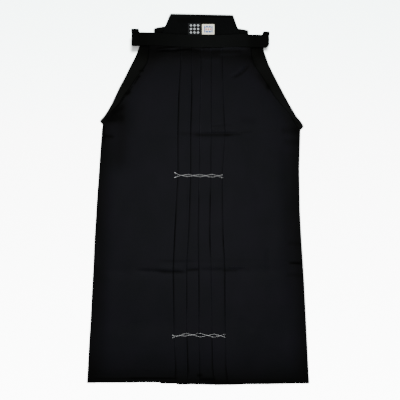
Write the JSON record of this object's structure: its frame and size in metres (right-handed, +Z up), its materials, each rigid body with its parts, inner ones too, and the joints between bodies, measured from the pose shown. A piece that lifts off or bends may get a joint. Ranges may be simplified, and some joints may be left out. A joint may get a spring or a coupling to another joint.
{
  "type": "hakama trousers",
  "caption": "Pleated hakama trousers laid flat, front up: two wide legs, deep front pleats, a waistband over folded straps, and a stiff back board.",
  "frame": {"origin": "middle of the garment's bounding box in plan, on the surface that it lies on", "axes": "+X to the viewer's right and the wearer's left, +Y towards the waist, +Z up from the surface; the front faces +Z"},
  "size_m": [0.6518, 1.0925, 0.0218],
  "materials": {
    "black_cloth": "matt black twill, pressed",
    "strap_cloth": "matt black twill, several layers",
    "board_cloth": "smooth black cloth over a stiff board",
    "dark_label": "dark woven label",
    "pale_label": "cream woven label"
  },
  "bodies": {
    "root": {"front_right_leg": "black_cloth", "front_left_leg": "black_cloth", "back_right_leg": "black_cloth", "back_left_leg": "black_cloth", "front_band": "strap_cloth", "front_strap_right": "strap_cloth", "front_strap_left": "strap_cloth", "back_strap_right": "strap_cloth", "back_strap_left": "strap_cloth", "back_board": "board_cloth", "label_dark": "dark_label", "label_pale": "pale_label"}
  },
  "joints": []
}
